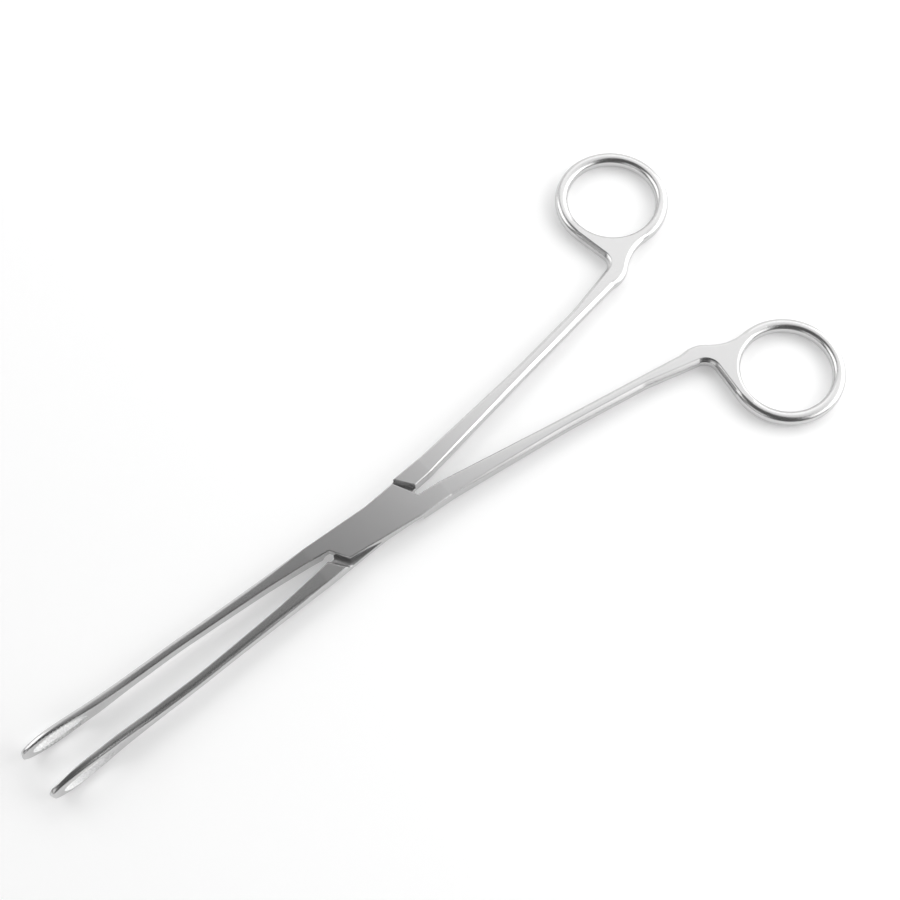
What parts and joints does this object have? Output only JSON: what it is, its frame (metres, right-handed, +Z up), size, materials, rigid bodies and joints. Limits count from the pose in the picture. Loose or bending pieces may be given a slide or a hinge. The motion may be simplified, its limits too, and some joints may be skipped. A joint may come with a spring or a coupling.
{
  "type": "gallstone forceps",
  "caption": "Slender lap-joint forceps with finger rings and upright fenestrated spoon jaws for lifting out gallstones.",
  "frame": {"origin": "middle of the part's box at the level of the lowest points, the lower rims of the spoon jaws", "axes": "+Z up from the face it lies on, +X along the instrument from the jaws to the finger rings"},
  "size_m": [0.208, 0.0914, 0.0072],
  "materials": {
    "upper_half": "satin",
    "lower_half": "satin",
    "pivot_screw": "satin"
  },
  "bodies": {
    "upper": {"upper_half": "upper_half", "pivot_screw": "pivot_screw"},
    "lower": {"lower_half": "lower_half"}
  },
  "joints": [
    {"name": "lock_hinge", "type": "hinge", "parent": "upper", "child": "lower", "pos_m": [-0.01076, 0, 0.0036], "axis": [0, 0, 1], "range_deg": [-6.24, 113.76]}
  ]
}
